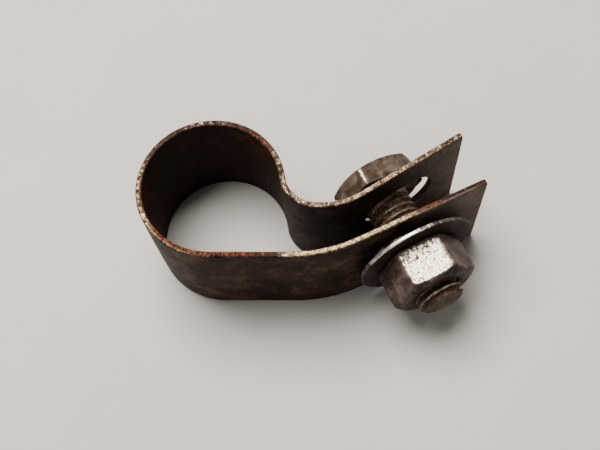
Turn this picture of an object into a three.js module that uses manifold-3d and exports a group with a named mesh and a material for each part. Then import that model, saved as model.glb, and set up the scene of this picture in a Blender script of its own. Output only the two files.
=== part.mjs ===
// Bolted strap clip for a pipe: one bent steel strip, a hexagon bolt, a flat washer and a nut.
// Millimetres, +Z up. The strip stands on its long edge, its ears reach towards +X, and the bolt
// lies along Y with the nut on the -Y side. The front leg is the one on the nut's side.
//
// The strip is one piece of steel that bends at the back of its loop when the nut is turned.
// It is modelled as two solids that meet there, so that the loop can open and close.
import * as THREE from 'three';
import { mergeVertices } from 'three/addons/utils/BufferGeometryUtils.js';
import Module from 'manifold-3d';

// The strip.
const STRIP_WIDTH = 26;
const STRIP_THICKNESS = 1.3;
const FLEX_GAP = 0.3;

// Its loop, as radii of the middle of the strip. The loop is a little out of round.
const LOOP_BACK_RADIUS = 14.1;
const LOOP_FRONT_RADIUS = 15.3;
const LOOP_REAR_RADIUS = 14.3;
const LOOP_BACK_FRONT_ANGLE = 10.9;
const LOOP_FRONT_ANGLE = 52.7;
const LOOP_BACK_REAR_ANGLE = 88.2;
const LOOP_REAR_ANGLE = 110.5;

// The front leg is straight, then bends gently into its ear. Angles are to the left of the way on.
const FRONT_LEG_LENGTH = 14.8;
const FRONT_BEND_RADIUS = 31.2;
const FRONT_BEND_ANGLE = 26.4;
const FRONT_EAR_LENGTH = 27.2;

// The rear leg turns back sharply at the neck, dips, and rises a little into its ear.
const NECK_RADIUS = 7;
const NECK_ANGLE = 79.3;
const DIP_RADIUS = 15.5;
const DIP_ANGLE = 36.2;
const REAR_EAR_LENGTH = 23.5;

// Both ears have the same slotted hole.
const SLOT_LENGTH = 16;
const SLOT_WIDTH = 11;
const FRONT_SLOT_FROM_TIP = 16.2;
const REAR_SLOT_FROM_TIP = 15;

// M10 hardware. The bolt's head is 17 mm across the flats and its nut 16 mm, the older and the newer
// standard. The bolt stands square to the front ear, a little low in the slots.
const BOLT_FROM_TIP = 16.2;
const BOLT_HEIGHT = 12.6;
const BOLT_DIAMETER = 9.8;
const BOLT_LENGTH = 25.8;
const BOLT_END_CHAMFER = 0.8;
const HEAD_ACROSS_FLATS = 17;
const NUT_ACROSS_FLATS = 16;
const HEX_CHAMFER = 1.1;
const HEAD_HEIGHT = 5.2;
const HEAD_FACE_DIAMETER = 16.2;
const HEAD_FACE_HEIGHT = 0.4;
const HEAD_TURN = -7;
const HEAD_BEHIND_FRONT_EAR = 11.7;
const WASHER_DIAMETER = 24.8;
const WASHER_HOLE = 10.6;
const WASHER_THICKNESS = 0.8;
const WASHER_OFF_EAR = 2.02;
const NUT_OFF_EAR = 3.1;
const NUT_HEIGHT = 8.4;
const NUT_BACK_CHAMFER = 0.3;
const NUT_HOLE = 10.4;
const NUT_TURN = 6;

// How finely round shapes are divided.
const BEND_STEP = 5;
const ROUND_SIDES = 48;
const SLOT_END_STEPS = 12;
const CUT_MARGIN = 4;

const wasm = await Module();
wasm.setup();

const steel = {
  strip: new THREE.MeshStandardMaterial({ color: 0x4a4138, metalness: 0.75, roughness: 0.55 }),
  bolt: new THREE.MeshStandardMaterial({ color: 0x5b4a3a, metalness: 0.8, roughness: 0.5 }),
  washer: new THREE.MeshStandardMaterial({ color: 0x6a665f, metalness: 0.9, roughness: 0.4 }),
  nut: new THREE.MeshStandardMaterial({ color: 0x77736c, metalness: 0.9, roughness: 0.35 }),
};

function toSolid(geometry) {
  const bare = geometry.clone();
  bare.deleteAttribute('normal');
  bare.deleteAttribute('uv');
  const merged = mergeVertices(bare, 1e-4);
  return new wasm.Manifold(new wasm.Mesh({
    numProp: 3,
    vertProperties: new Float32Array(merged.attributes.position.array),
    triVerts: new Uint32Array(merged.index.array),
  }));
}

function toMesh(name, solid, material) {
  const { vertProperties, triVerts } = solid.getMesh();
  const geometry = new THREE.BufferGeometry();
  geometry.setAttribute('position', new THREE.BufferAttribute(vertProperties, 3));
  geometry.setIndex(new THREE.BufferAttribute(triVerts, 1));
  geometry.computeVertexNormals();
  const mesh = new THREE.Mesh(geometry, material);
  mesh.name = name;
  return mesh;
}

// Follows the middle of the strip from a start point. A run is straight ({ length }) or an arc
// ({ radius, angle }, with the angle positive to the left). Returns points with their headings.
function walk(start, heading, runs) {
  const stations = [{ at: start.clone(), heading }];
  for (const { length, radius, angle = 0 } of runs) {
    const turn = THREE.MathUtils.degToRad(angle);
    const steps = angle ? Math.ceil(Math.abs(angle) / BEND_STEP) : 1;
    const chord = angle ? 2 * radius * Math.sin(Math.abs(turn) / steps / 2) : length;
    for (let step = 0; step < steps; step += 1) {
      const last = stations.at(-1);
      const way = last.heading + turn / steps / 2;
      const at = last.at.clone().add(new THREE.Vector2(Math.cos(way), Math.sin(way)).multiplyScalar(chord));
      stations.push({ at, heading: last.heading + turn / steps });
    }
  }
  return stations;
}

// Gives the walked line the strip's thickness and width.
function strip(stations) {
  const side = (offset) => stations.map(({ at, heading }) => new THREE.Vector2(
    at.x - offset * Math.sin(heading),
    at.y + offset * Math.cos(heading),
  ));
  const outline = [...side(-STRIP_THICKNESS / 2), ...side(STRIP_THICKNESS / 2).reverse()];
  return new THREE.ExtrudeGeometry(new THREE.Shape(outline), { depth: STRIP_WIDTH, bevelEnabled: false });
}

// A round-ended bar as wide as the slot, square to an ear whose tip and heading are given.
function slotCutter(tip, fromTip) {
  const straight = (SLOT_LENGTH - SLOT_WIDTH) / 2;
  const shape = new THREE.Shape();
  shape.absarc(straight, 0, SLOT_WIDTH / 2, -Math.PI / 2, Math.PI / 2, false);
  shape.absarc(-straight, 0, SLOT_WIDTH / 2, Math.PI / 2, 1.5 * Math.PI, false);
  const depth = STRIP_THICKNESS + 2 * CUT_MARGIN;
  const cutter = new THREE.ExtrudeGeometry(shape, {
    depth,
    bevelEnabled: false,
    curveSegments: SLOT_END_STEPS,
  });
  cutter.translate(-fromTip, 0, -depth / 2);
  cutter.rotateX(Math.PI / 2);
  cutter.rotateZ(tip.heading);
  cutter.translate(tip.at.x, tip.at.y, STRIP_WIDTH / 2);
  return cutter;
}

// A hexagonal prism along Y from y = 0 to y = height, turned about Y by an angle in degrees.
function hexPrism(acrossFlats, height, turn) {
  const corner = acrossFlats / Math.sqrt(3);
  const shape = new THREE.Shape(Array.from({ length: 6 }, (_, k) => {
    const angle = THREE.MathUtils.degToRad(60 * k + turn);
    return new THREE.Vector2(corner * Math.cos(angle), corner * Math.sin(angle));
  }));
  const prism = new THREE.ExtrudeGeometry(shape, { depth: height, bevelEnabled: false });
  prism.rotateX(Math.PI / 2);
  prism.translate(0, height, 0);
  return prism;
}

// A body of revolution about Y from [radius, y] pairs.
function turned(profile) {
  return new THREE.LatheGeometry(profile.map(([radius, y]) => new THREE.Vector2(radius, y)), ROUND_SIDES);
}

// The two halves of the strip, walked from the back of the loop outwards. The loop's centre is at
// x = 0, y = 0, and the sides are -1 for the front leg and 1 for the rear leg.
const flexTurn = FLEX_GAP / 2 / LOOP_BACK_RADIUS;
const flexAngle = THREE.MathUtils.radToDeg(flexTurn);

function loopStart(side) {
  const at = new THREE.Vector2(-Math.cos(flexTurn), side * Math.sin(flexTurn));
  return at.multiplyScalar(LOOP_BACK_RADIUS);
}

const frontLine = walk(loopStart(-1), -Math.PI / 2 + flexTurn, [
  { radius: LOOP_BACK_RADIUS, angle: LOOP_BACK_FRONT_ANGLE - flexAngle },
  { radius: LOOP_FRONT_RADIUS, angle: LOOP_FRONT_ANGLE },
  { length: FRONT_LEG_LENGTH },
  { radius: FRONT_BEND_RADIUS, angle: FRONT_BEND_ANGLE },
  { length: FRONT_EAR_LENGTH },
]);
const rearLine = walk(loopStart(1), Math.PI / 2 - flexTurn, [
  { radius: LOOP_BACK_RADIUS, angle: flexAngle - LOOP_BACK_REAR_ANGLE },
  { radius: LOOP_REAR_RADIUS, angle: -LOOP_REAR_ANGLE },
  { radius: NECK_RADIUS, angle: NECK_ANGLE },
  { radius: DIP_RADIUS, angle: DIP_ANGLE },
  { length: REAR_EAR_LENGTH },
]);
const frontTip = frontLine.at(-1);
const rearTip = rearLine.at(-1);
const frontLeg = toSolid(strip(frontLine)).subtract(toSolid(slotCutter(frontTip, FRONT_SLOT_FROM_TIP)));
const rearLeg = toSolid(strip(rearLine)).subtract(toSolid(slotCutter(rearTip, REAR_SLOT_FROM_TIP)));

// The fasteners lie along Y and are placed from the front ear's outer face.
const boltX = frontTip.at.x - BOLT_FROM_TIP;
const earFaceY = frontTip.at.y - STRIP_THICKNESS / 2;
const chamferSlope = Math.tan(THREE.MathUtils.degToRad(30));

function headSolid() {
  const corner = HEAD_ACROSS_FLATS / Math.sqrt(3);
  const limits = turned([
    [0, 0],
    [HEAD_FACE_DIAMETER / 2, 0],
    [HEAD_FACE_DIAMETER / 2, HEAD_FACE_HEIGHT],
    [corner + 1, HEAD_FACE_HEIGHT],
    [corner + 1, HEAD_HEIGHT - HEX_CHAMFER - chamferSlope],
    [corner - HEX_CHAMFER / chamferSlope, HEAD_HEIGHT],
    [0, HEAD_HEIGHT],
  ]);
  return toSolid(hexPrism(HEAD_ACROSS_FLATS, HEAD_HEIGHT, HEAD_TURN)).intersect(toSolid(limits));
}

function shankSolid() {
  const radius = BOLT_DIAMETER / 2;
  return toSolid(turned([
    [0, -BOLT_LENGTH],
    [radius - BOLT_END_CHAMFER, -BOLT_LENGTH],
    [radius, -BOLT_LENGTH + BOLT_END_CHAMFER],
    [radius, HEAD_HEIGHT / 2],
    [0, HEAD_HEIGHT / 2],
  ]));
}

function nutSolid() {
  const corner = NUT_ACROSS_FLATS / Math.sqrt(3);
  const limits = turned([
    [NUT_HOLE / 2, 0],
    [corner - HEX_CHAMFER / chamferSlope, 0],
    [corner + 1, HEX_CHAMFER + chamferSlope],
    [corner + 1, NUT_HEIGHT - NUT_BACK_CHAMFER - chamferSlope],
    [corner - NUT_BACK_CHAMFER / chamferSlope, NUT_HEIGHT],
    [NUT_HOLE / 2, NUT_HEIGHT],
    [NUT_HOLE / 2, 0],
  ]);
  return toSolid(hexPrism(NUT_ACROSS_FLATS, NUT_HEIGHT, NUT_TURN)).intersect(toSolid(limits));
}

function washerSolid() {
  return toSolid(turned([
    [WASHER_HOLE / 2, 0],
    [WASHER_DIAMETER / 2, 0],
    [WASHER_DIAMETER / 2, WASHER_THICKNESS],
    [WASHER_HOLE / 2, WASHER_THICKNESS],
    [WASHER_HOLE / 2, 0],
  ]));
}

function onBoltAxis(name, solid, material, y) {
  const mesh = toMesh(name, solid, material);
  mesh.position.set(boltX, y, BOLT_HEIGHT);
  return mesh;
}

const clip = new THREE.Group();
clip.add(
  toMesh('strap_rear_leg', rearLeg, steel.strip),
  toMesh('strap_front_leg', frontLeg, steel.strip),
  onBoltAxis('hex_bolt', headSolid().add(shankSolid()), steel.bolt, earFaceY + HEAD_BEHIND_FRONT_EAR),
  onBoltAxis('flat_washer', washerSolid(), steel.washer, earFaceY - WASHER_OFF_EAR - WASHER_THICKNESS),
  onBoltAxis('hex_nut', nutSolid(), steel.nut, earFaceY - NUT_OFF_EAR - NUT_HEIGHT),
);

// The origin is the middle of the whole clip, on the surface that it stands on.
const whole = new THREE.Box3().setFromObject(clip);
const middle = whole.getCenter(new THREE.Vector3());
clip.position.set(-middle.x, -middle.y, -whole.min.z);

export default clip;
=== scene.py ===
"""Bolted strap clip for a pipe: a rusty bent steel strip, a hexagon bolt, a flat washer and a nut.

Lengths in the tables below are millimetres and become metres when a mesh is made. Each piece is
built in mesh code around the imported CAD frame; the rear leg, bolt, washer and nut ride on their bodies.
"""

import math

import bpy
import numpy as np
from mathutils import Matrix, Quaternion, Vector, geometry, noise


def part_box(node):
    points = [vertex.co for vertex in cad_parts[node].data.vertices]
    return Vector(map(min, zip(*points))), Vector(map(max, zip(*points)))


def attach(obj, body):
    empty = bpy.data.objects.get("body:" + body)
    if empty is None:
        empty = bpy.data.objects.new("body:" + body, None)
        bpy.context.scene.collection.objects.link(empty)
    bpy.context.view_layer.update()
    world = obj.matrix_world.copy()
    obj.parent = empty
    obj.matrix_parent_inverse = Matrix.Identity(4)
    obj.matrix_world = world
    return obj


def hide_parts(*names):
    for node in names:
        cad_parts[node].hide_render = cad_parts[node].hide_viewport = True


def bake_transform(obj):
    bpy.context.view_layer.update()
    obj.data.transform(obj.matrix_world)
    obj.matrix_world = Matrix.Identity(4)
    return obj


MM = 0.001

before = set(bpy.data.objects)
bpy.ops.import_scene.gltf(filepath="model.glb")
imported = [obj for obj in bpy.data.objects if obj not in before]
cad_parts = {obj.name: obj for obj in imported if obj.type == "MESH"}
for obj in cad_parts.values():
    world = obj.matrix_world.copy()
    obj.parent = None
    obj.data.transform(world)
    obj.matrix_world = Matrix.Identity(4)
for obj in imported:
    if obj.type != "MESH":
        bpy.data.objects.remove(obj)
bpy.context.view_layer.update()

# The strip and its slots, as in the CAD.
STRIP_WIDTH = 26.0
STRIP_THICKNESS = 1.3
SLOT_LENGTH = 16.0
SLOT_WIDTH = 11.0
FRONT_SLOT_FROM_TIP = 16.2
REAR_SLOT_FROM_TIP = 15.0

# The middle of the strip from the back of the loop outwards, as (length or radius, turn to the
# left in degrees). The loop's centre is at x = 0, y = 0.
LOOP_BACK_RADIUS = 14.1
FRONT_RUNS = [(14.1, 10.9), (15.3, 52.7), (14.8, 0), (31.2, 26.4), (27.2, 0)]
REAR_RUNS = [(14.1, -88.2), (14.3, -110.5), (7.0, 79.3), (15.5, 36.2), (23.5, 0)]

# How the cut edges of the strip are rounded, and how the mesh is divided.
EDGE_RADIUS = 0.34
EDGE_ROWS = (0.0, 0.03, 0.1, 0.2, 0.34, 0.6, 1.0, 1.6)
ROW_STEP = 0.8
COLUMN_STEP = 0.6
SEAM_STEP = 0.1
SLOT_RINGS = (0.0, 0.03, 0.1, 0.2, 0.34, 0.6, 1.0)
SLOT_STEP = 0.45
SLOT_CLEAR = 1.35
SLOT_WINDOW = 2.2

# Wear of the strip: how far its faces lie inside the nominal ones, the bulge across its width near
# the loop, and how much the corners of the tips and a corner of the bolt's head are knocked back.
FACE_LOSS = 0.06
CROWN = 0.45
CROWN_AT = 12
CROWN_SPREAD = 8
KNOCK = 0.22
KNOCK_REACH = 0.5
NICK_ANGLE = 113.0
NICK_DEPTH = 0.3
NICK_Y = 2.9

# M10 hardware.
THREAD_RADIUS = 4.9
THREAD_DEPTH = 0.85
THREAD_PITCH = 1.5
THREAD_CLEARANCE = 0.16
HEAD_ACROSS_FLATS = 17.0
NUT_ACROSS_FLATS = 16.0
HEX_CHAMFER = 1.1
CHAMFER_SLOPE = math.tan(math.radians(30))
HEAD_FLAT_RADIUS = HEAD_ACROSS_FLATS / math.sqrt(3) - HEX_CHAMFER / CHAMFER_SLOPE
NUT_FLAT_RADIUS = NUT_ACROSS_FLATS / math.sqrt(3) - HEX_CHAMFER / CHAMFER_SLOPE
CORNER_WEAR = 0.2
HEAD_HEIGHT = 5.2
HEAD_FACE_RADIUS = 8.1
HEAD_FACE_HEIGHT = 0.4
HEAD_TURN = -7.0
BOLT_LENGTH = 25.8
BOLT_END_CHAMFER = 0.8
NUT_HEIGHT = 8.4
NUT_BACK_CHAMFER = 0.3
NUT_TURN = 6.0
NUT_BORE_CHAMFER = 0.55
WASHER_RADIUS = 12.4
WASHER_HOLE_RADIUS = 5.3
WASHER_THICKNESS = 0.8
WASHER_EDGE_RADIUS = 0.2
HEX_SIDES = 144
ROUND_SIDES = 160

bolt_low, bolt_high = [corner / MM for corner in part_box("hex_bolt")]
nut_low, nut_high = [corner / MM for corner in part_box("hex_nut")]
washer_low, washer_high = [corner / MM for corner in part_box("flat_washer")]
strip_low, strip_high = [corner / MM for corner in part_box("strap_front_leg")]
AXIS_X = (nut_low.x + nut_high.x) / 2
AXIS_Z = (washer_low.z + washer_high.z) / 2
BEARING_Y = bolt_high.y - HEAD_HEIGHT


def smooth(low, high, value):
    """0 below low, 1 above high, and a smooth step between."""
    t = np.clip((np.asarray(value, float) - low) / (high - low), 0, 1)
    return t * t * (3 - 2 * t)


def bump_at(value, middle, width):
    """A soft bump of height 1."""
    return math.exp(-(((value - middle) / width) ** 2))


def rough(x, y, z, size):
    """Smooth noise from -1 to 1 with lumps about as large as size, in millimetres."""
    return noise.noise(Vector((x, y, z)) / size)


# ---------------------------------------------------------------- meshes


def make_piece(name, points, faces, material, attributes, sharp=()):
    """A smooth mesh object from millimetre points, with one float attribute per entry."""
    mesh = bpy.data.meshes.new(name)
    mesh.from_pydata([tuple(MM * c for c in p) for p in points], [], faces)
    mesh.validate()
    mesh.shade_smooth()
    if sharp:
        wanted = {frozenset(pair) for pair in sharp}
        for edge in mesh.edges:
            if frozenset(edge.vertices) in wanted:
                edge.use_edge_sharp = True
    for label, values in attributes.items():
        layer = mesh.attributes.new(label, "FLOAT", "POINT")
        layer.data.foreach_set("value", np.asarray(values, np.float32))
    mesh.materials.append(material)
    piece = bpy.data.objects.new(name, mesh)
    bpy.context.scene.collection.objects.link(piece)
    return piece


def path_of(start, heading, runs):
    """The strip's middle line as a function of the length along it, and its whole length.

    The function gives x, y and the heading in radians."""
    pieces = []
    x, y = start
    travelled = 0.0
    for size, turn in runs:
        angle = math.radians(turn)
        length = size * abs(angle) if turn else size
        pieces.append((travelled, length, x, y, heading, angle))
        half = angle / 2
        chord = length * (math.sin(half) / half if turn else 1)
        x += chord * math.cos(heading + half)
        y += chord * math.sin(heading + half)
        heading += angle
        travelled += length

    def at(s):
        piece = max((p for p in pieces if p[0] <= s + 1e-9), key=lambda p: p[0])
        begin, length, px, py, way, angle = piece
        part = angle * (s - begin) / length
        chord = s - begin
        if abs(part) > 1e-9:
            chord *= math.sin(part / 2) / (part / 2)
        return (
            px + chord * math.cos(way + part / 2),
            py + chord * math.sin(way + part / 2),
            way + part,
        )

    return at, travelled


def slot_point(angle_part, out):
    """A point of the slot's outline from its centre, pushed outwards. The part goes from 0 to 1."""
    radius = SLOT_WIDTH / 2
    straight = (SLOT_LENGTH - SLOT_WIDTH) / 2
    lengths = [math.pi * radius, 2 * straight, math.pi * radius, 2 * straight]
    run = angle_part * sum(lengths)
    reach = radius + out
    for index, length in enumerate(lengths):
        if run <= length or index == 3:
            break
        run -= length
    if index == 0:
        angle = -math.pi / 2 + run / radius
        return straight + reach * math.cos(angle), reach * math.sin(angle)
    if index == 1:
        return straight - run, reach
    if index == 2:
        angle = math.pi / 2 + run / radius
        return -straight + reach * math.cos(angle), reach * math.sin(angle)
    return -straight + run, -reach


def slot_distance(s, z, centre):
    """How far a point of the blank is outside the slot."""
    straight = (SLOT_LENGTH - SLOT_WIDTH) / 2
    along = max(abs(s - centre) - straight, 0.0)
    return math.hypot(along, z - STRIP_WIDTH / 2) - SLOT_WIDTH / 2


def blank(length, slot_centre):
    """The flat blank of one leg: points (s, z) and faces. s = 0 is the seam at the loop's back."""
    half_rows = list(EDGE_ROWS)
    steps = round((STRIP_WIDTH / 2 - half_rows[-1]) / ROW_STEP)
    half_rows += list(np.linspace(half_rows[-1], STRIP_WIDTH / 2, steps + 1)[1:])
    rows = half_rows + [STRIP_WIDTH - r for r in reversed(half_rows[:-1])]
    tip_rows = [length - e for e in reversed(EDGE_ROWS)]
    steps = round((tip_rows[0] - SEAM_STEP) / COLUMN_STEP)
    columns = [0.0] + list(np.linspace(SEAM_STEP, tip_rows[0], steps + 1)) + tip_rows[1:]
    margin = SLOT_LENGTH / 2 + SLOT_WINDOW
    first = max(i for i, s in enumerate(columns) if s <= slot_centre - margin)
    beyond = [i for i, s in enumerate(columns) if s >= slot_centre + margin]
    last = min(beyond + [len(columns) - 1])
    points, index = [], {}
    for i, s in enumerate(columns):
        for j, z in enumerate(rows):
            border = i in (first, last) or j in (0, len(rows) - 1)
            near_slot = slot_distance(s, z, slot_centre) < SLOT_CLEAR
            if first <= i <= last and not border and near_slot:
                continue
            index[i, j] = len(points)
            points.append((s, z))
    faces = []
    for i in range(len(columns) - 1):
        if first <= i < last:
            continue
        for j in range(len(rows) - 1):
            faces.append((index[i, j], index[i + 1, j], index[i + 1, j + 1], index[i, j + 1]))
    # Around the slot the blank is filled with triangles between rings and rows.
    window = []
    for i in range(first, last + 1):
        window += [index[i, j] for j in range(len(rows)) if (i, j) in index]
    around = 2 * (SLOT_LENGTH - SLOT_WIDTH) + math.pi * SLOT_WIDTH
    count = round(around / SLOT_STEP)
    edges = []
    for out in SLOT_RINGS:
        ring = []
        for k in range(count):
            along, up = slot_point(k / count, out)
            ring.append(len(points))
            points.append((slot_centre + along, STRIP_WIDTH / 2 + up))
        window += ring
        edges += [(ring[k], ring[(k + 1) % count]) for k in range(count)]
    local = {p: n for n, p in enumerate(window)}
    made = geometry.delaunay_2d_cdt(
        [Vector(points[p]) for p in window],
        [(local[a], local[b]) for a, b in edges],
        [],
        0,
        1e-6,
    )
    origin = [window[source[0]] for source in made[3]]
    for face in made[2]:
        corners = [origin[c] for c in face]
        middle = np.mean([points[c] for c in corners], axis=0)
        if slot_distance(middle[0], middle[1], slot_centre) < -0.01:
            continue
        (ax, ay), (bx, by), (cx, cy) = [points[c] for c in corners]
        turn = (bx - ax) * (cy - ay) - (by - ay) * (cx - ax)
        if abs(turn) < 1e-7:
            continue
        faces.append(tuple(corners) if turn > 0 else tuple(reversed(corners)))
    return points, faces


def half_thickness(distance):
    """The strip's half thickness at a distance from the nearest cut edge."""
    if distance >= EDGE_RADIUS:
        return STRIP_THICKNESS / 2
    fall = EDGE_RADIUS - math.sqrt(EDGE_RADIUS**2 - (EDGE_RADIUS - max(distance, 0)) ** 2)
    return STRIP_THICKNESS / 2 - fall


def leg_mesh(name, runs, side, slot_from_tip, marks, material):
    """One leg of the strip, bent from its blank. side is -1 for the front leg and 1 for the rear.

    marks(s, z, inside, rim, at_slot) gives the vertex's bare, rust and dark amounts."""
    at, length = path_of((-LOOP_BACK_RADIUS, 0), side * math.pi / 2, runs)
    slot_centre = length - slot_from_tip
    flat, faces = blank(length, slot_centre)
    points, bare, rust, dark = [], [], [], []
    inward = -side

    def place(s, z, offset):
        x, y, heading = at(s)
        points.append(
            (
                LOOP_X + x - offset * math.sin(heading),
                LOOP_Y + y + offset * math.cos(heading),
                z,
            )
        )

    def knock_at(s, z):
        away = length - s + min(z, STRIP_WIDTH - z)
        return KNOCK * math.exp(-away / KNOCK_REACH)

    def worn_height(s, z):
        # The long edges wander a little and the tip's corners are knocked back.
        top = 0.07 * (1 + rough(s, 3, side, 5)) + 0.05 * (1 + rough(s, 7, side, 1.6))
        low = 0.03 * (1 + rough(s, 11, side, 6))
        knock = knock_at(s, z)
        share = z / STRIP_WIDTH
        height = z - top * share**6 + low * (1 - share) ** 6
        return height - knock if z > STRIP_WIDTH / 2 else height + knock

    def at_slot(s, z):
        return slot_distance(s, z, slot_centre) < 0.8

    def worn_length(s, z):
        ragged = 0.06 * (1 + rough(z, 5, side, 3)) * math.exp(-(length - s) / 2)
        return s - knock_at(s, z) - ragged

    for layer in (inward, -inward):
        for s, z in flat:
            distance = min(z, STRIP_WIDTH - z, length - s, slot_distance(s, z, slot_centre))
            across = 1 - (2 * z / STRIP_WIDTH - 1) ** 2
            crown = -inward * CROWN * bump_at(side * s, -CROWN_AT, CROWN_SPREAD) * across
            x, y, _ = at(s)
            dent = 0.035 * rough(x, y, z, 4) + 0.02 * rough(x + 30 * layer, y, z, 1.5)
            fade = float(smooth(0.0, 1.5, distance)) * float(smooth(0.0, 2.0, s))
            thick = half_thickness(distance) - FACE_LOSS
            place(worn_length(s, z), worn_height(s, z), crown + fade * dent + layer * thick)
            rim = 1 - float(smooth(0.05, 0.42, distance))
            amounts = marks(s, z, layer == inward, rim, at_slot(s, z))
            bare.append(amounts[0])
            rust.append(amounts[1])
            dark.append(amounts[2])
    count = len(flat)
    first_faces = [face if inward > 0 else tuple(reversed(face)) for face in faces]
    other_faces = [tuple(count + c for c in reversed(face)) for face in first_faces]
    used = {}
    for face in first_faces:
        for pair in zip(face, face[1:] + face[:1]):
            used[pair] = True
    # An edge with a face on one side only is on the outline or round the slot.
    border = [(a, b) for a, b in used if (b, a) not in used]
    middle = {}
    for a, b in border:
        if a in middle:
            continue
        middle[a] = len(points)
        pa, pb = points[a], points[count + a]
        s, z = flat[a]
        sink = 0
        if z in (0, STRIP_WIDTH) and s > 0.5:
            sink = 0.02 + 0.03 * (1 + rough(s, z, side, 0.9))
        lift = -sink if z == STRIP_WIDTH else sink
        points.append(((pa[0] + pb[0]) / 2, (pa[1] + pb[1]) / 2, (pa[2] + pb[2]) / 2 + lift))
        amounts = marks(s, z, None, 1.0, at_slot(s, z))
        bare.append(amounts[0])
        rust.append(amounts[1])
        dark.append(amounts[2])
    walls, sharp = [], []
    for a, b in border:
        walls.append((b, a, middle[a], middle[b]))
        walls.append((middle[b], middle[a], count + a, count + b))
        if flat[a][0] == 0 and flat[b][0] == 0:
            sharp += [(a, b), (count + a, count + b)]
    ends = [a for a, b in border if flat[a][0] == 0 and flat[a][1] in (0, STRIP_WIDTH)]
    for a in ends:
        sharp += [(a, middle[a]), (middle[a], count + a)]
    return make_piece(
        name,
        points,
        first_faces + other_faces + walls,
        material,
        {"bare": bare, "rust": rust, "dark": dark},
        sharp,
    )


def ring_piece(name, rings, closed, material, attributes):
    """A mesh from rings of points. Closed rings join the last to the first; else the ends get caps."""
    count = len(rings[0])
    points = [p for ring in rings for p in ring]
    faces = []
    last = len(rings) if closed else len(rings) - 1
    for i in range(last):
        a = i * count
        b = (i + 1) % len(rings) * count
        for k in range(count):
            n = (k + 1) % count
            faces.append((a + k, a + n, b + n, b + k))
    if not closed:
        for ring, flip in ((0, True), (len(rings) - 1, False)):
            centre = len(points)
            points.append(tuple(np.mean(rings[ring], axis=0)))
            for values in attributes.values():
                values.append(values[ring * count])
            for k in range(count):
                a, b = ring * count + k, ring * count + (k + 1) % count
                faces.append((b, a, centre) if flip else (a, b, centre))
    return make_piece(name, points, faces, material, attributes)


def round_corners(corners, radius, steps=3):
    """A polyline of (r, y) corners with its inner corners rounded, always with the same count."""
    made = [corners[0]]
    for before, corner, after in zip(corners, corners[1:], corners[2:]):
        corner = np.array(corner)
        to_before, to_after = np.array(before) - corner, np.array(after) - corner
        cut = min(radius, 0.45 * np.linalg.norm(to_before), 0.45 * np.linalg.norm(to_after))
        start = corner + to_before / np.linalg.norm(to_before) * cut
        end = corner + to_after / np.linalg.norm(to_after) * cut
        for step in range(steps + 1):
            t = step / steps
            made.append(tuple((1 - t) ** 2 * start + 2 * t * (1 - t) * corner + t * t * end))
    made.append(corners[-1])
    return made


def hex_reach(angle, across_flats, turn):
    """The distance from the axis to a worn hexagon's side, with the corners at turn + 60 k degrees."""
    part = (math.degrees(angle) - turn) % 60 - 30
    reach = across_flats / 2 / math.cos(math.radians(part))
    limit = across_flats / math.sqrt(3) - CORNER_WEAR
    soft = 0.07
    return -soft * math.log(math.exp(-reach / soft) + math.exp(-limit / soft))


def thread_height(angle, y):
    """0 at the thread's root and 1 at its crest. It is a right-hand thread about the bolt's axis."""
    turns = y / THREAD_PITCH + angle / (2 * math.pi)
    away = abs((turns + 0.5) % 1 - 0.5)
    return float(1 - smooth(0.04, 0.4, away))


def hex_bolt(material):
    """The bolt: head with a chamfer and a washer face, and a threaded shank, about the Y axis."""
    angles = [math.radians(HEAD_TURN + 360 * k / HEX_SIDES) for k in range(HEX_SIDES)]
    columns = []
    for angle in angles:
        reach = hex_reach(angle, HEAD_ACROSS_FLATS, HEAD_TURN)
        chamfer = HEAD_HEIGHT - (reach - HEAD_FLAT_RADIUS) * CHAMFER_SLOPE
        profile = [
            (0.4, HEAD_HEIGHT - 0.12),
            (HEAD_FLAT_RADIUS - 1.4, HEAD_HEIGHT - 0.1),
            (HEAD_FLAT_RADIUS - 0.2, HEAD_HEIGHT),
            (reach, chamfer),
            (reach, (chamfer + HEAD_FACE_HEIGHT) / 2),
            (reach, HEAD_FACE_HEIGHT),
            (HEAD_FACE_RADIUS, HEAD_FACE_HEIGHT),
            (HEAD_FACE_RADIUS, 0),
            (THREAD_RADIUS + 0.3, 0),
        ]
        column = round_corners(profile, 0.3)
        steps = round(BOLT_LENGTH / THREAD_PITCH * 10)
        for step in range(steps + 1):
            y = -BOLT_LENGTH * step / steps
            # The thread runs out at the head and is partly clogged there, where the nut never goes.
            begun = float(smooth(0.4, 2.4, -y))
            depth = THREAD_DEPTH * (0.55 + 0.45 * float(smooth(-4.2, -5.8, y)))
            radius = THREAD_RADIUS - depth * begun * (1 - thread_height(angle, y))
            limit = THREAD_RADIUS - BOLT_END_CHAMFER + (y + BOLT_LENGTH)
            column.append((min(radius, limit), y))
        end = THREAD_RADIUS - BOLT_END_CHAMFER
        column += [(end - 0.15, -BOLT_LENGTH), (end * 0.66, -BOLT_LENGTH)]
        column.append((end * 0.33, -BOLT_LENGTH + 0.05))
        columns.append(column)
    return turned_piece(
        "hex_bolt_finished", columns, angles, BEARING_Y, False, material, bolt_marks
    )


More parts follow.
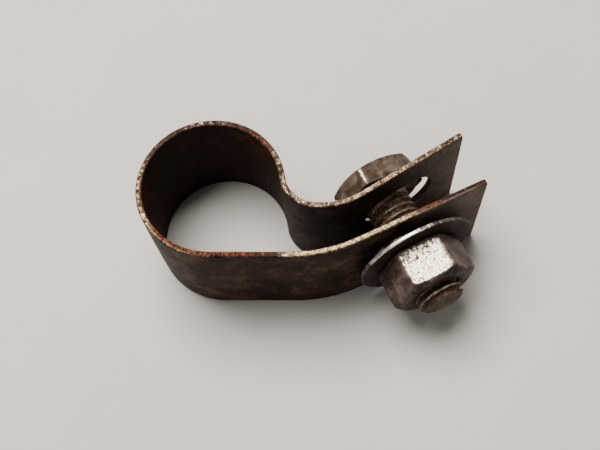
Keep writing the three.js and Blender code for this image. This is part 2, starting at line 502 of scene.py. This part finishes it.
def hex_nut(material):
    """The nut: chamfered on both faces, with its inside thread on the bolt's helix."""
    angles = [math.radians(NUT_TURN + 360 * k / HEX_SIDES) for k in range(HEX_SIDES)]
    nut_y = nut_low.y - BEARING_Y
    bore = THREAD_RADIUS + THREAD_CLEARANCE + 0.1
    columns = []
    for angle in angles:
        reach = hex_reach(angle, NUT_ACROSS_FLATS, NUT_TURN)
        fall = (reach - NUT_FLAT_RADIUS) * CHAMFER_SLOPE
        back_flat = NUT_ACROSS_FLATS / math.sqrt(3) - NUT_BACK_CHAMFER / CHAMFER_SLOPE
        back_y = NUT_HEIGHT - max(reach - back_flat, 0.0) * CHAMFER_SLOPE - 0.02
        profile = [
            (bore + 0.2, 0),
            (NUT_FLAT_RADIUS - 0.1, 0),
            (reach, fall),
            *[(reach, fall + part * (back_y - fall)) for part in (0.12, 0.25, 0.4, 0.55, 0.7, 0.85)],
            (reach, back_y),
            (min(back_flat, reach - 0.15), NUT_HEIGHT),
            (bore + 0.2, NUT_HEIGHT),
        ]
        column = round_corners(profile, 0.4, 4)
        steps = round(NUT_HEIGHT / THREAD_PITCH * 10)
        for step in range(steps, -1, -1):
            y = NUT_HEIGHT * step / steps
            height = thread_height(angle, y + nut_y)
            radius = THREAD_RADIUS + THREAD_CLEARANCE - THREAD_DEPTH * (1 - height)
            mouth = bore - 1.2 * min(y, NUT_HEIGHT - y) / NUT_BORE_CHAMFER
            column.append((max(radius, mouth), y))
        columns.append(column)
    return turned_piece("hex_nut_finished", columns, angles, nut_low.y, True, material, nut_wear_and_light)


def flat_washer(material):
    """The washer, with rounded edges and a slight warp."""
    angles = [2 * math.pi * k / ROUND_SIDES for k in range(ROUND_SIDES)]
    columns = []
    for angle in angles:
        warp = 0.02 * math.sin(2 * angle + 0.7)
        outer = WASHER_RADIUS - 0.03 * (1 + rough(9 * math.cos(angle), 9 * math.sin(angle), 4, 3))
        low, high = 0.03 + warp, WASHER_THICKNESS - 0.03 + warp
        middle = (WASHER_HOLE_RADIUS + outer) / 2
        profile = [
            (middle, low),
            (outer - 0.9, low),
            (outer, low),
            (outer, (low + high) / 2),
            (outer, high),
            (outer - 0.9, high),
            (middle, high),
            (WASHER_HOLE_RADIUS, high),
            (WASHER_HOLE_RADIUS, low),
            (middle, low),
        ]
        columns.append(round_corners(profile, WASHER_EDGE_RADIUS)[:-1])
    return turned_piece(
        "flat_washer_finished", columns, angles, washer_low.y, True, material, washer_wear_and_light
    )


def turned_piece(name, columns, angles, base_y, closed, material, marks):
    """A piece about the bolt's axis from one (r, y) column per angle, counted from +X towards +Z."""
    rings, bare, rust, dark = [], [], [], []
    for level in range(len(columns[0])):
        ring = []
        for angle, column in zip(angles, columns):
            radius, y = column[level]
            x, z = radius * math.cos(angle), radius * math.sin(angle)
            wear = 0.012 * rough(x, y, z, 1.1) + 0.02 * rough(x, y, z + 40, 3)
            if radius > THREAD_RADIUS + 0.1:
                radius -= abs(wear)
            dent = nick_depth(name, angle, y, radius)
            radius -= dent
            x, z = radius * math.cos(angle), radius * math.sin(angle)
            ring.append((AXIS_X + x, base_y + y, AXIS_Z + z))
            amounts = marks(math.degrees(angle) % 360, radius, y, dent)
            bare.append(amounts[0])
            rust.append(amounts[1])
            dark.append(amounts[2])
        rings.append(ring)
    attributes = {"bare": bare, "rust": rust, "dark": dark}
    return ring_piece(name, rings, closed, material, attributes)


def nick_depth(name, angle, y, radius):
    """The knocked place on one corner of the bolt's head."""
    if name != "hex_bolt_finished" or radius < 7:
        return 0.0
    away = (math.degrees(angle) - NICK_ANGLE + 180) % 360 - 180
    return NICK_DEPTH * bump_at(away, 0, 1.4) * bump_at(y, NICK_Y, 1.5)


# ---------------------------------------------------------------- wear and painted light
# Each function says how bare, rusty and dark the steel is at a point, with painted shade in the dark
# amounts and painted highlights in some bare ones. A negative dark makes it paler. s runs along the strip
# from the loop's back.


def front_wear_and_light(s, z, inside, rim, at_slot):
    """Where the front leg is bare, rusty or dark, with painted shade inside and low down outside, and a
    painted highlight on the upper outer face at the crown.
    """
    top = z > STRIP_WIDTH / 2
    upper = float(smooth(13, 25, z))
    bright = 0.12 + 0.78 * float(smooth(27, 35, s)) * (1 - float(smooth(56, 60, s)))
    bright = bright + 0.42 * bump_at(s, 0, 9)
    bare = rim * (0.05 if at_slot else bright if top else 0.2)
    # Outside, the upper face at the crown is made paler: a painted highlight of the light from above. The
    # ear is paler outside as well.
    if inside is False:
        bare += 0.2 * bump_at(s, 11, 6) * upper
        bare += 0.1 * float(smooth(56, 66, s))
    rust = 0.1
    if inside is not False:
        rust += 0.75 * bump_at(s, 10, 8) * upper
        rust += 0.3 * bump_at(s, 24, 8) * upper
    if top and not at_slot:
        rust += rim * (0.38 * bump_at(s, 19, 9) + 0.36 * bump_at(s, 62, 6))
        rust += 0.12 * bump_at(s, 20, 10) * float(smooth(22, 26, z))
    # The inside face is painted dark as painted shade, and the outside is painted darker towards the
    # lower edge as painted shade near the floor.
    dark = 0.8 * (1 - rim) if inside else 0.1 + 0.25 * float(smooth(9, 0, z))
    # Outside, the ear is made paler and the crown gets its painted highlight.
    if inside is False:
        dark -= 0.85 * float(smooth(52, 63, s)) + 0.35 * bump_at(s, 12, 7) * upper
    dark += 0.5 * rim * float(smooth(69, 72, s))
    return bare, min(rust, 1.0), min(dark, 1.0)


def rear_wear_and_shade(s, z, inside, rim, at_slot):
    """Where the rear leg is bare, rusty or dark, with painted shade inside the loop."""
    top = z > STRIP_WIDTH / 2
    bright = 0.22 + 0.16 * bump_at(s, 27, 4) + 0.28 * bump_at(s, 49, 8) + 0.3 * bump_at(s, 0, 12)
    bright += 0.42 * bump_at(s, 70, 11) + 0.22 * bump_at(s, 87, 8)
    bare = rim * (0.05 if at_slot else bright if top else 0.2)
    rust = 0.1
    if inside:
        rust += 0.4 * bump_at(s, 38, 9) * float(smooth(8, 24, z))
        rust += 0.45 * bump_at(s, 4, 8) * float(smooth(6, 20, z))
        rust += 0.2 * float(smooth(62, 75, s)) * (1 - rim)
        bare += 0.12 * float(smooth(62, 75, s)) * (1 - rim)
    if top and not at_slot:
        rust += 0.25 * rim * bump_at(s, 38, 6)
    # Inside, the loop is painted dark as painted shade; the ear's inside is made paler.
    loop = 1 - float(smooth(50, 58, s))
    ear = float(smooth(70, 82, s))
    dark = (0.2 + 0.65 * loop - 1.0 * ear) * (1 - rim) if inside else 0.2
    return bare, min(rust, 1.0), dark


def bolt_marks(angle, radius, y, dent):
    """Where the bolt is bare, rusty or dark."""
    if y < 0.1:
        crest = float(smooth(THREAD_RADIUS - 0.45, THREAD_RADIUS - 0.05, radius))
        crest = max(crest, 0.6 * float(smooth(-BOLT_LENGTH + 0.3, -BOLT_LENGTH + 0.1, y)))
        end = float(smooth(-18, -22, y))
        groove = 1 - crest
        bare = 0.62 * crest * (1 - end) + 0.42 * crest * end
        rust = (0.55 + 0.1 * crest) * (1 - end) + (0.56 - 0.2 * groove) * end
        return bare, rust, (0.4 + 0.5 * end) * groove - 0.5 * end * crest
    corner = abs((angle - HEAD_TURN) % 60 - 30) / 30
    edge = float(smooth(0.9, 1.0, corner)) * float(smooth(7.4, 8.2, radius))
    near_top = float(smooth(HEAD_HEIGHT - 1.3, HEAD_HEIGHT - 0.2, y))
    rimmed = bump_at(radius, HEAD_FLAT_RADIUS + 0.6, 0.5) * near_top
    return min(0.4 * edge + 0.4 * rimmed + 4.5 * dent, 1.0), 0.16, 0.1


def nut_wear_and_light(angle, radius, y, dent):
    """Where the nut is bare, rusty or dark. Its uppermost side is bright, worn metal with a painted
    highlight of the light above, and its other sides are painted darker as painted shade.
    """
    if radius < NUT_FLAT_RADIUS - 0.9:
        return 0.02, 0.4, 0.8
    side = round((angle - NUT_TURN - 30) / 60) % 6
    off_middle = (angle - NUT_TURN) % 60 - 30
    across = NUT_ACROSS_FLATS / 2 * math.tan(math.radians(off_middle))
    # The bright patch, worn metal and painted highlight, is a rectangle with rounded corners on the side.
    past_across = max(abs(across) - 3.1, 0.0)
    past_along = max(abs(y - 4.55) - 2.35, 0.0)
    patch = float(smooth(0.2, -0.2, math.hypot(past_across, past_along) - 1.35))
    if side == 1:
        pitted = 0.5 * float(smooth(3.6, 7.0, y + 0.25 * across))
        return patch * (1.0 - pitted), 0.05, 0.35 * (1 - patch)
    # The other sides are painted darker: painted shade.
    edge = bump_at(abs(off_middle), 30, 1.5)
    return (0.12 if side == 0 else 0.06) + 0.12 * edge, 0.1, 0.45


def washer_wear_and_light(angle, radius, y, dent):
    """Where the washer is bare, rusty or dark. Its rim is worn, painted brighter where it faces up as a
    painted highlight and darker elsewhere as painted shade; its faces are painted dark as painted shade.
    """
    rim = float(smooth(WASHER_RADIUS - 0.35, WASHER_RADIUS - 0.1, radius))
    # The rim is brightest facing up, a painted highlight; the faces are painted dark, painted shade.
    up = bump_at((angle - 118 + 180) % 360 - 180, 0, 34)
    return rim * (0.15 + 0.85 * up), 0.12, 0.9 * (1 - rim) + 0.3 * rim * (1 - up)


# ---------------------------------------------------------------- materials


class Finish:
    """A node material under construction."""

    def __init__(self, name):
        self.material = bpy.data.materials.new(name)
        self.material.use_nodes = True
        self.nodes = self.material.node_tree.nodes
        self.links = self.material.node_tree.links
        self.nodes.clear()
        self.place = self.nodes.new("ShaderNodeTexCoord").outputs["Object"]

    def put(self, socket, value):
        if isinstance(value, bpy.types.NodeSocket):
            self.links.new(value, socket)
        else:
            socket.default_value = value

    def noise(self, size, detail=4.0, roughness=0.6, distortion=0.0):
        """Noise with lumps of a size in millimetres."""
        node = self.nodes.new("ShaderNodeTexNoise")
        self.links.new(self.place, node.inputs["Vector"])
        node.inputs["Scale"].default_value = 1 / (size * MM)
        node.inputs["Detail"].default_value = detail
        node.inputs["Roughness"].default_value = roughness
        node.inputs["Distortion"].default_value = distortion
        return node.outputs["Fac"]

    def attribute(self, name):
        node = self.nodes.new("ShaderNodeAttribute")
        node.attribute_name = name
        return node.outputs["Fac"]

    def math(self, operation, a, b, clamp=False):
        node = self.nodes.new("ShaderNodeMath")
        node.operation = operation
        node.use_clamp = clamp
        self.put(node.inputs[0], a)
        self.put(node.inputs[1], b)
        return node.outputs[0]

    def span(self, value, low, high, to_low=0.0, to_high=1.0):
        node = self.nodes.new("ShaderNodeMapRange")
        node.interpolation_type = "SMOOTHSTEP"
        self.put(node.inputs["Value"], value)
        self.put(node.inputs["From Min"], low)
        self.put(node.inputs["From Max"], high)
        self.put(node.inputs["To Min"], to_low)
        self.put(node.inputs["To Max"], to_high)
        return node.outputs["Result"]

    def ramp(self, value, stops):
        node = self.nodes.new("ShaderNodeValToRGB")
        elements = node.color_ramp.elements
        while len(elements) < len(stops):
            elements.new(0.5)
        for element, (position, colour) in zip(elements, stops):
            element.position = position
            element.color = (*colour, 1)
        self.links.new(value, node.inputs["Fac"])
        return node.outputs["Color"]

    def mix(self, amount, a, b, kind="RGBA", blend="MIX"):
        node = self.nodes.new("ShaderNodeMix")
        node.data_type = kind
        if kind == "RGBA":
            node.blend_type = blend
        sockets = [s for s in node.inputs if s.enabled]
        self.put(sockets[0], amount)
        self.put(sockets[1], a)
        self.put(sockets[2], b)
        return next(s for s in node.outputs if s.enabled)

    def finish(self, colour, metallic, roughness, height, depth):
        bump = self.nodes.new("ShaderNodeBump")
        bump.inputs["Strength"].default_value = 1.0
        bump.inputs["Distance"].default_value = depth * MM
        self.links.new(height, bump.inputs["Height"])
        shader = self.nodes.new("ShaderNodeBsdfPrincipled")
        self.put(shader.inputs["Base Color"], colour)
        self.put(shader.inputs["Metallic"], metallic)
        self.put(shader.inputs["Roughness"], roughness)
        shader.inputs["Specular IOR Level"].default_value = SPECULAR
        self.links.new(bump.outputs["Normal"], shader.inputs["Normal"])
        output = self.nodes.new("ShaderNodeOutputMaterial")
        self.links.new(shader.outputs["BSDF"], output.inputs["Surface"])
        return self.material


SPECULAR = 0.04
RUST = [(0.36, (0.016, 0.0045, 0.003)), (0.5, (0.052, 0.0155, 0.0085)), (0.64, (0.20, 0.080, 0.040))]


def aged_steel(name, patina, bare, patina_rough, bare_rough, mottle_size, pits, rust=RUST, depth=0.12):
    """Steel with a mottled patina, bare metal where it is worn, rust, dark pits, and painted shade and
    highlights.

    The mesh says where, in its bare, rust and dark attributes; noise breaks their borders up."""
    f = Finish(name)
    mottle = f.noise(mottle_size, 6, 0.62, 0.4)
    grain = f.noise(0.9, 5, 0.65)
    speck = f.noise(0.33, 3, 0.7)
    fine = f.noise(0.16, 3, 0.6)
    colour = f.ramp(mottle, patina)
    lift = f.span(grain, 0.3, 0.72, 0.62, 1.35)
    colour = f.mix(1.0, colour, f.mix(lift, (0, 0, 0, 1), (1, 1, 1, 1)), blend="MULTIPLY")
    # A negative dark attribute mixes in a paler brown, which on the front leg's crown is a painted
    # highlight.
    paler = f.span(f.attribute("dark"), 0.0, -1.0, 0.0, 0.75)
    paler = f.math("MULTIPLY", paler, f.span(mottle, 0.3, 0.6, 0.6, 1.0))
    colour = f.mix(paler, colour, (0.165, 0.122, 0.098, 1))
    # A positive dark attribute mixes in near black: painted shade inside the loop, on the washer's faces,
    # on the nut's lower sides and along the strip's lower edge, and darker steel on the bolt.
    shade = f.span(f.attribute("dark"), 0.0, 1.0, 0.0, 0.85)
    colour = f.mix(shade, colour, (0.023, 0.009, 0.0065, 1))
    # Bare metal, which on the nut's top side, the washer's upper rim and the front leg's crown is also a
    # painted highlight.
    worn = f.math("ADD", f.attribute("bare"), f.math("MULTIPLY", f.math("SUBTRACT", grain, 0.5), 1.3))
    worn = f.math("ADD", worn, f.math("MULTIPLY", f.math("SUBTRACT", speck, 0.5), 0.7))
    worn = f.span(worn, 0.34, 0.72)
    bare_colour = f.ramp(f.math("MULTIPLY", f.math("ADD", grain, speck), 0.5), bare)
    colour = f.mix(worn, colour, bare_colour)
    # Dark pits.
    pit = f.math("MULTIPLY", f.span(speck, 0.44, 0.36), f.span(mottle, 0.62, 0.42, 0.25, 1.0))
    pit = f.math("MULTIPLY", pit, pits)
    colour = f.mix(pit, colour, (0.02, 0.015, 0.012, 1))
    # Rust.
    rusty = f.math("ADD", f.attribute("rust"), f.math("MULTIPLY", f.math("SUBTRACT", mottle, 0.5), 1.3))
    rusty = f.math("ADD", rusty, f.math("MULTIPLY", f.math("SUBTRACT", grain, 0.5), 1.2))
    rusty = f.span(rusty, 0.35, 0.8)
    colour = f.mix(rusty, colour, f.ramp(f.noise(0.6, 5, 0.7, 0.3), rust))
    # Scattered pale specks.
    pale = f.math("MULTIPLY", f.span(speck, 0.63, 0.72), f.span(grain, 0.45, 0.6))
    pale = f.math("MULTIPLY", pale, f.span(f.attribute("dark"), 0.9, 0.2, 0.15, 0.6))
    colour = f.mix(pale, colour, (0.40, 0.31, 0.21, 1))
    metallic = f.mix(worn, 0.03, 0.95, "FLOAT")
    metallic = f.mix(f.math("MAXIMUM", rusty, pit), metallic, 0.0, "FLOAT")
    roughness = f.mix(worn, patina_rough, bare_rough, "FLOAT")
    roughness = f.math("ADD", roughness, f.span(grain, 0.3, 0.7, -0.08, 0.1))
    roughness = f.mix(f.math("MAXIMUM", rusty, pit), roughness, 0.85, "FLOAT")
    height = f.math("ADD", f.math("MULTIPLY", grain, 0.5), f.math("MULTIPLY", speck, 0.3))
    height = f.math("ADD", height, f.math("MULTIPLY", fine, 0.12))
    height = f.math("SUBTRACT", height, f.math("MULTIPLY", pit, 0.25))
    height = f.math("ADD", height, f.math("MULTIPLY", rusty, f.math("MULTIPLY", speck, 0.5)))
    return f.finish(colour, metallic, roughness, height, depth)


strap_steel = aged_steel(
    "strap_patina",
    patina=[(0.32, (0.010, 0.0042, 0.003)), (0.5, (0.031, 0.0145, 0.0103)), (0.7, (0.080, 0.046, 0.034))],
    bare=[(0.40, (0.035, 0.022, 0.011)), (0.5, (0.16, 0.108, 0.060)), (0.62, (0.47, 0.35, 0.22))],
    patina_rough=0.52,
    bare_rough=0.45,
    mottle_size=4.5,
    pits=0.6,
)
bolt_steel = aged_steel(
    "bolt_patina",
    patina=[(0.32, (0.018, 0.011, 0.007)), (0.5, (0.052, 0.036, 0.025)), (0.7, (0.12, 0.090, 0.064))],
    bare=[(0.36, (0.08, 0.06, 0.04)), (0.5, (0.34, 0.28, 0.20)), (0.66, (0.80, 0.76, 0.68))],
    patina_rough=0.45,
    bare_rough=0.4,
    mottle_size=3.0,
    pits=0.5,
    rust=[(0.34, (0.035, 0.021, 0.013)), (0.5, (0.115, 0.074, 0.045)), (0.68, (0.30, 0.22, 0.145))],
    depth=0.08,
)
washer_steel = aged_steel(
    "washer_zinc",
    patina=[(0.34, (0.026, 0.021, 0.018)), (0.5, (0.06, 0.05, 0.045)), (0.68, (0.12, 0.105, 0.095))],
    bare=[(0.34, (0.16, 0.14, 0.12)), (0.46, (0.48, 0.45, 0.41)), (0.62, (0.74, 0.71, 0.66))],
    patina_rough=0.45,
    bare_rough=0.35,
    mottle_size=3.5,
    pits=0.35,
    depth=0.06,
)
nut_steel = aged_steel(
    "nut_zinc",
    patina=[(0.34, (0.024, 0.016, 0.013)), (0.5, (0.062, 0.045, 0.038)), (0.68, (0.14, 0.108, 0.094))],
    bare=[(0.42, (0.10, 0.072, 0.052)), (0.49, (0.36, 0.295, 0.225)), (0.57, (0.56, 0.48, 0.385))],
    patina_rough=0.42,
    bare_rough=0.38,
    mottle_size=3.2,
    pits=0.9,
    depth=0.06,
)

# ---------------------------------------------------------------- the pieces

# The path is laid out about the loop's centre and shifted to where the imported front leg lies.
front_at, front_length = path_of((-LOOP_BACK_RADIUS, 0), -math.pi / 2, FRONT_RUNS)
tip_x, tip_y, _ = front_at(front_length)
LOOP_X = strip_high.x - tip_x
LOOP_Y = strip_low.y + STRIP_THICKNESS / 2 - tip_y

rear = leg_mesh("strap_rear_finished", REAR_RUNS, 1, REAR_SLOT_FROM_TIP, rear_wear_and_shade, strap_steel)
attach(rear, "rear_leg")
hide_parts("strap_rear_leg")

front = leg_mesh("strap_front_finished", FRONT_RUNS, -1, FRONT_SLOT_FROM_TIP, front_wear_and_light, strap_steel)
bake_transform(front)
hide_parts("strap_front_leg")

for piece, body, node, slot in (
    (hex_bolt(bolt_steel), "bolt", "hex_bolt", "bolt"),
    (flat_washer(washer_steel), "washer", "flat_washer", "washer"),
    (hex_nut(nut_steel), "nut", "hex_nut", "nut"),
):
    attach(piece, body)
    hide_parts(node)

# ---------------------------------------------------------------- floor, light and camera

FLOOR_SIZE = 3.0
floor_finish = Finish("pale_floor")
floor_tone = floor_finish.ramp(
    floor_finish.noise(60, 3),
    [(0.3, (0.420, 0.390, 0.354)), (0.7, (0.458, 0.427, 0.389))],
)
floor_material = floor_finish.finish(floor_tone, 0.0, 0.85, floor_finish.noise(1.5, 3), 0.02)
floor_mesh = bpy.data.meshes.new("floor")
reach = FLOOR_SIZE / 2
floor_corners = [(-reach, -reach, 0), (reach, -reach, 0), (reach, reach, 0), (-reach, reach, 0)]
floor_mesh.from_pydata(floor_corners, [], [(0, 1, 2, 3)])
floor_mesh.materials.append(floor_material)
floor = bpy.data.objects.new("floor", floor_mesh)
bpy.context.scene.collection.objects.link(floor)


def area_light(name, direction, distance, size, power, colour=(1, 1, 1)):
    """A square soft light that looks at the object from a direction."""
    lamp = bpy.data.lights.new(name, "AREA")
    lamp.shape = "SQUARE"
    lamp.size = size
    lamp.energy = power
    lamp.color = colour
    light = bpy.data.objects.new(name, lamp)
    way = Vector(direction).normalized()
    light.location = way * distance
    light.rotation_mode = "QUATERNION"
    light.rotation_quaternion = (-way).to_track_quat("-Z", "Y")
    bpy.context.scene.collection.objects.link(light)


area_light("window", (-0.07, 0.385, 0.921), 0.55, 0.36, 10.0, (1.0, 0.985, 0.96))
area_light("fill_left", (-0.9, -0.3, 0.7), 0.8, 0.6, 1.0)

world = bpy.data.worlds.new("studio")
world.use_nodes = True
world.node_tree.nodes["Background"].inputs["Color"].default_value = (1.0, 0.965, 0.92, 1)
world.node_tree.nodes["Background"].inputs["Strength"].default_value = 0.25
bpy.context.scene.world = world

# The camera looks down from the nut's side. Angles are degrees.
CAMERA_AIM = Vector((-3.38, 1.34, 13.0)) * MM
CAMERA_AZIMUTH = -17.68
CAMERA_ELEVATION = 66.18
CAMERA_ROLL = -8.09
CAMERA_DISTANCE = 174.63 * MM
CAMERA_LENS = 50.53

azimuth = math.radians(CAMERA_AZIMUTH)
elevation = math.radians(CAMERA_ELEVATION)
back = Vector(
    (
        math.sin(azimuth) * math.cos(elevation),
        -math.cos(azimuth) * math.cos(elevation),
        math.sin(elevation),
    )
)
camera_data = bpy.data.cameras.new("camera")
camera_data.lens = CAMERA_LENS
camera_data.sensor_width = 36
camera_data.clip_start = 0.01
camera_data.clip_end = 10
camera = bpy.data.objects.new("camera", camera_data)
camera.location = CAMERA_AIM + back * CAMERA_DISTANCE
camera.rotation_mode = "QUATERNION"
roll = Quaternion((0, 0, 1), math.radians(CAMERA_ROLL))
camera.rotation_quaternion = (-back).to_track_quat("-Z", "Y") @ roll
bpy.context.scene.collection.objects.link(camera)
bpy.context.scene.camera = camera
